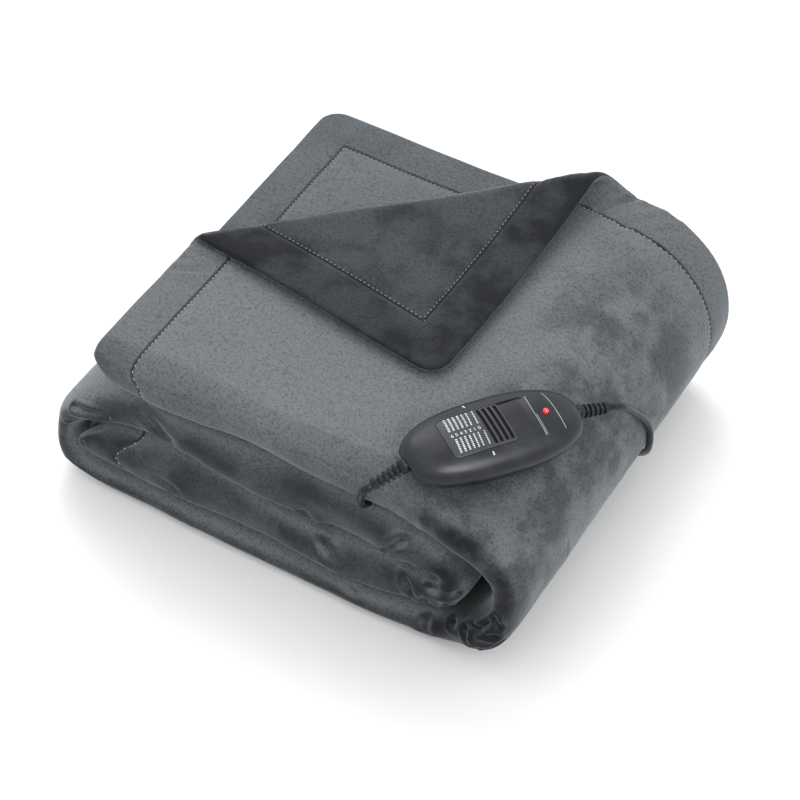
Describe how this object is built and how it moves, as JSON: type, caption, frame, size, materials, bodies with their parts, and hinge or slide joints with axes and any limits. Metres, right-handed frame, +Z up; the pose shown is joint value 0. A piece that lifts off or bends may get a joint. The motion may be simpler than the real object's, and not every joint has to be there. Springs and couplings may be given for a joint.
{
  "type": "electric heated blanket",
  "caption": "Folded plush heated throw blanket with a corner turned back and a corded handset whose slide switch sets the heat.",
  "frame": {"origin": "on the surface that the blanket lies on, below the middle of the blanket and handset, without the leads", "axes": "+Z up; +X along the roll towards its large outer turn; +Y across the width, from the front folds towards the hems"},
  "size_m": [0.3855, 0.45, 0.1736],
  "materials": {
    "plush": "dense short pile, matt, dark slate grey",
    "shell_plastic": "fine-textured dark grey plastic",
    "slide_plastic": "fine-textured dark grey plastic",
    "lamp_lens": "clear red lens",
    "boot_rubber": "ribbed black rubber",
    "cord_sleeve": "smooth black sleeve",
    "plug_plastic": "satin black plastic",
    "pin_metal": "nickel plated",
    "tie_strap": "matt black strap"
  },
  "bodies": {
    "blanket": {"blanket": "plush", "handset_base": "shell_plastic", "handset_cover": "shell_plastic", "power_lamp": "lamp_lens", "heater_boot": "boot_rubber", "heater_lead": "cord_sleeve", "mains_boot": "boot_rubber", "mains_lead": "cord_sleeve", "mains_coil": "cord_sleeve", "coil_tie": "tie_strap", "plug_lead": "cord_sleeve", "plug_boot": "plug_plastic", "plug_body": "plug_plastic", "plug_pin_1": "pin_metal", "plug_pin_2": "pin_metal"},
    "slide": {"slide_switch": "slide_plastic"}
  },
  "joints": [
    {"name": "heat_slide", "type": "slide", "parent": "blanket", "child": "slide", "axis": [0.502, 0.8523, -0.1465], "range_m": [0, 0.018]}
  ]
}
